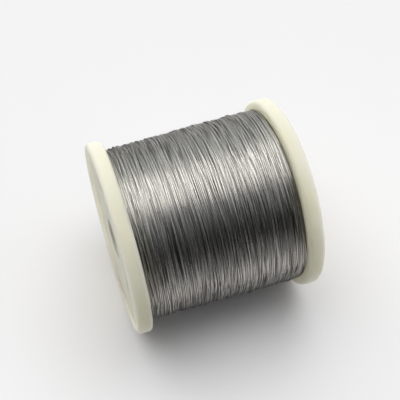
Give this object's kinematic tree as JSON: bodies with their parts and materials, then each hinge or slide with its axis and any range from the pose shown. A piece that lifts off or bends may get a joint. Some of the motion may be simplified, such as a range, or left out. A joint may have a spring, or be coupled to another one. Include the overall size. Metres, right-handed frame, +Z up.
{
  "type": "wire spool",
  "caption": "Fine nickel-copper alloy wire wound level on a cream plastic spool with dished ends, a round through bore and a blank paper label in one end.",
  "frame": {"origin": "on the floor, below the middle of the spool's axis, where the spool lies on its two flange rims", "axes": "+X along the spool's axis toward the end without a label, +Z up, +Y level and across the axis"},
  "size_m": [0.121, 0.125, 0.125],
  "materials": {
    "spool_plastic": "satin moulded plastic, cream",
    "alloy_wire": "drawn bare wire, warm nickel grey",
    "label_paper": "blank white paper"
  },
  "bodies": {
    "root": {"spool": "spool_plastic", "wire_winding": "alloy_wire", "end_label": "label_paper"}
  },
  "joints": []
}
